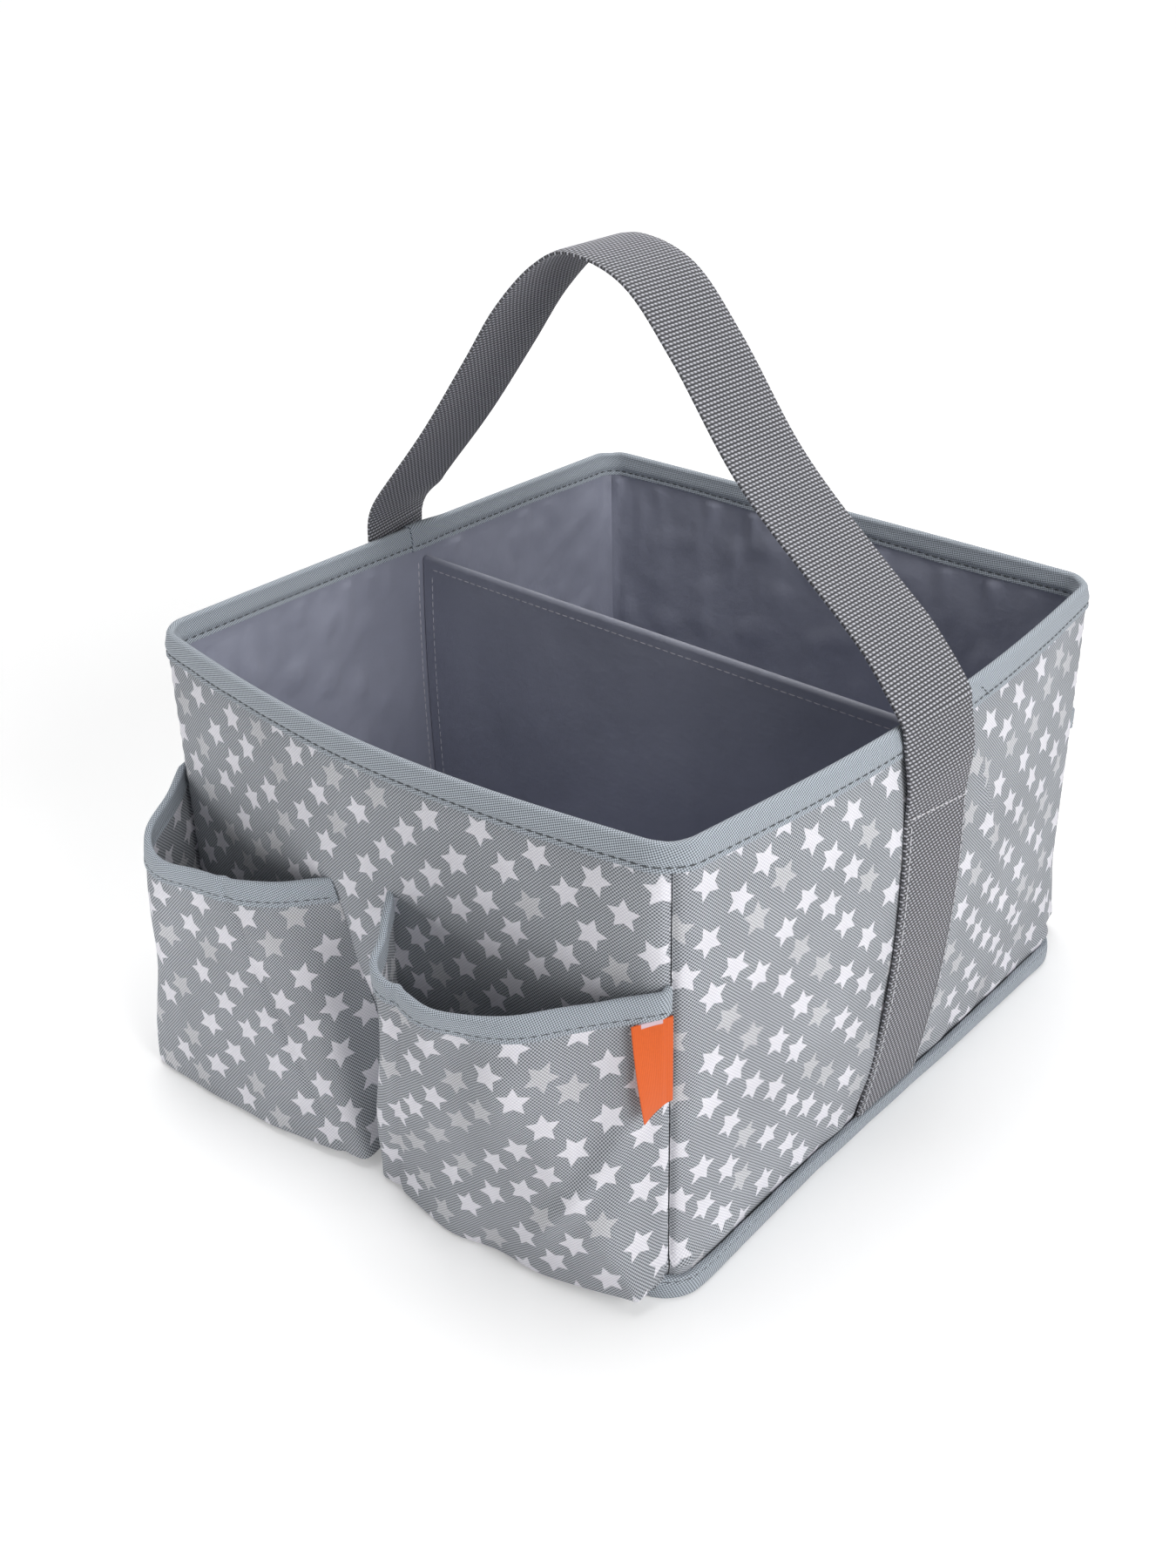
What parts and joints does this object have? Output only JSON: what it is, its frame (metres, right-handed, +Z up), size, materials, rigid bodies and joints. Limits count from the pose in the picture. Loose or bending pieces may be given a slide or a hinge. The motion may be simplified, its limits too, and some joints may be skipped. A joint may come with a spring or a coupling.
{
  "type": "diaper caddy",
  "caption": "Open-topped cloth caddy stiffened with boards: divided inside, pockets on front and back, bound edges, and a webbing strap that arches over the mouth as a swinging handle.",
  "frame": {"origin": "middle of the flat underside, on the floor plane", "axes": "+Z up; the deep bellows pockets face -Y, the flat pockets +Y; the strap runs along X from wall to wall"},
  "size_m": [0.2789, 0.3316, 0.316],
  "materials": {
    "printed_cloth": "matte",
    "satin_lining": "satin",
    "twill_tape": "matte",
    "webbing": "matte",
    "orange_ribbon": "satin",
    "stiffener_board": "matte"
  },
  "bodies": {
    "caddy": {"front_outer_panel": "printed_cloth", "front_board": "stiffener_board", "front_lining": "satin_lining", "right_outer_panel": "printed_cloth", "right_board": "stiffener_board", "right_lining": "satin_lining", "back_outer_panel": "printed_cloth", "back_board": "stiffener_board", "back_lining": "satin_lining", "left_outer_panel": "printed_cloth", "left_board": "stiffener_board", "left_lining": "satin_lining", "base_outer_panel": "printed_cloth", "base_board": "stiffener_board", "floor_lining": "satin_lining", "rim_binding": "twill_tape", "base_welt": "twill_tape", "divider_cover": "satin_lining", "divider_board": "stiffener_board", "front_right_pocket": "printed_cloth", "front_right_pocket_binding": "twill_tape", "front_left_pocket": "printed_cloth", "front_left_pocket_binding": "twill_tape", "back_left_pocket": "printed_cloth", "back_left_pocket_binding": "twill_tape", "back_right_pocket": "printed_cloth", "back_right_pocket_binding": "twill_tape", "strap_sewn_right": "webbing", "strap_sewn_left": "webbing", "strap_flex_right": "webbing", "strap_flex_left": "webbing"},
    "handle": {"handle_loop": "webbing"},
    "tag": {"side_tag": "orange_ribbon"}
  },
  "joints": [
    {"name": "handle_swing", "type": "hinge", "parent": "caddy", "child": "handle", "pos_m": [0, 0, 0.203], "axis": [1, 0, 0], "range_deg": [-80, 80], "deforming": ["strap_flex_right", "strap_flex_left"]},
    {"name": "tag_flip", "type": "hinge", "parent": "caddy", "child": "tag", "pos_m": [0.12675, -0.13275, 0.1015], "axis": [0, 0, 1], "range_deg": [0, 150]}
  ]
}
